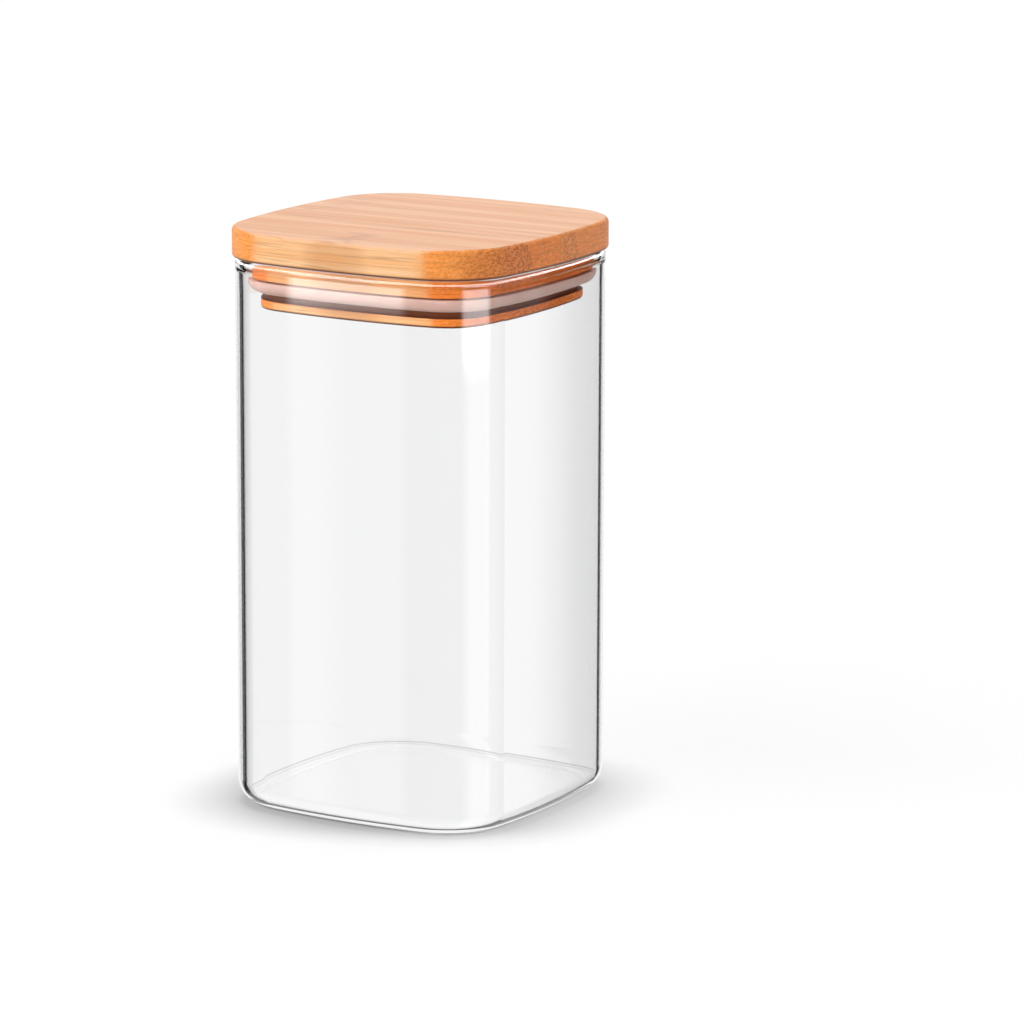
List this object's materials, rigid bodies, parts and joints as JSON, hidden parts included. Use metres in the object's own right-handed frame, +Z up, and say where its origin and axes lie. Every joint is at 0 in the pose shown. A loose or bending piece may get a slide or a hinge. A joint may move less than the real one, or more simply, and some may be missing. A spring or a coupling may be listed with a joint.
{
  "type": "glass storage jar",
  "caption": "Rounded-square clear glass jar with a flat base and a lift-off bamboo lid, whose stepped plug carries a silicone seal.",
  "frame": {"origin": "centre of the underside of the glass base, on the surface the jar stands on", "axes": "+Z up from the base to the lid, +X along the grain and strips of the bamboo, +Y across the strips from front to back"},
  "size_m": [0.0856, 0.0856, 0.155],
  "materials": {
    "glass": "clear and polished",
    "bamboo": "fine-sanded with a thin matt oil",
    "silicone": "translucent, satin"
  },
  "bodies": {
    "jar": {"glass_jar": "glass"},
    "lid": {"lid_board_strip_1": "bamboo", "lid_board_strip_2": "bamboo", "lid_board_strip_3": "bamboo", "lid_board_strip_4": "bamboo", "plug_upper_strip_1": "bamboo", "plug_upper_strip_2": "bamboo", "plug_upper_strip_3": "bamboo", "plug_lower_strip_1": "bamboo", "plug_lower_strip_2": "bamboo", "plug_lower_strip_3": "bamboo", "plug_lower_strip_4": "bamboo", "silicone_seal": "silicone"}
  },
  "joints": [
    {"name": "lid_lift", "type": "slide", "parent": "jar", "child": "lid", "axis": [0, 0, 1], "range_m": [0, 0.06]}
  ]
}
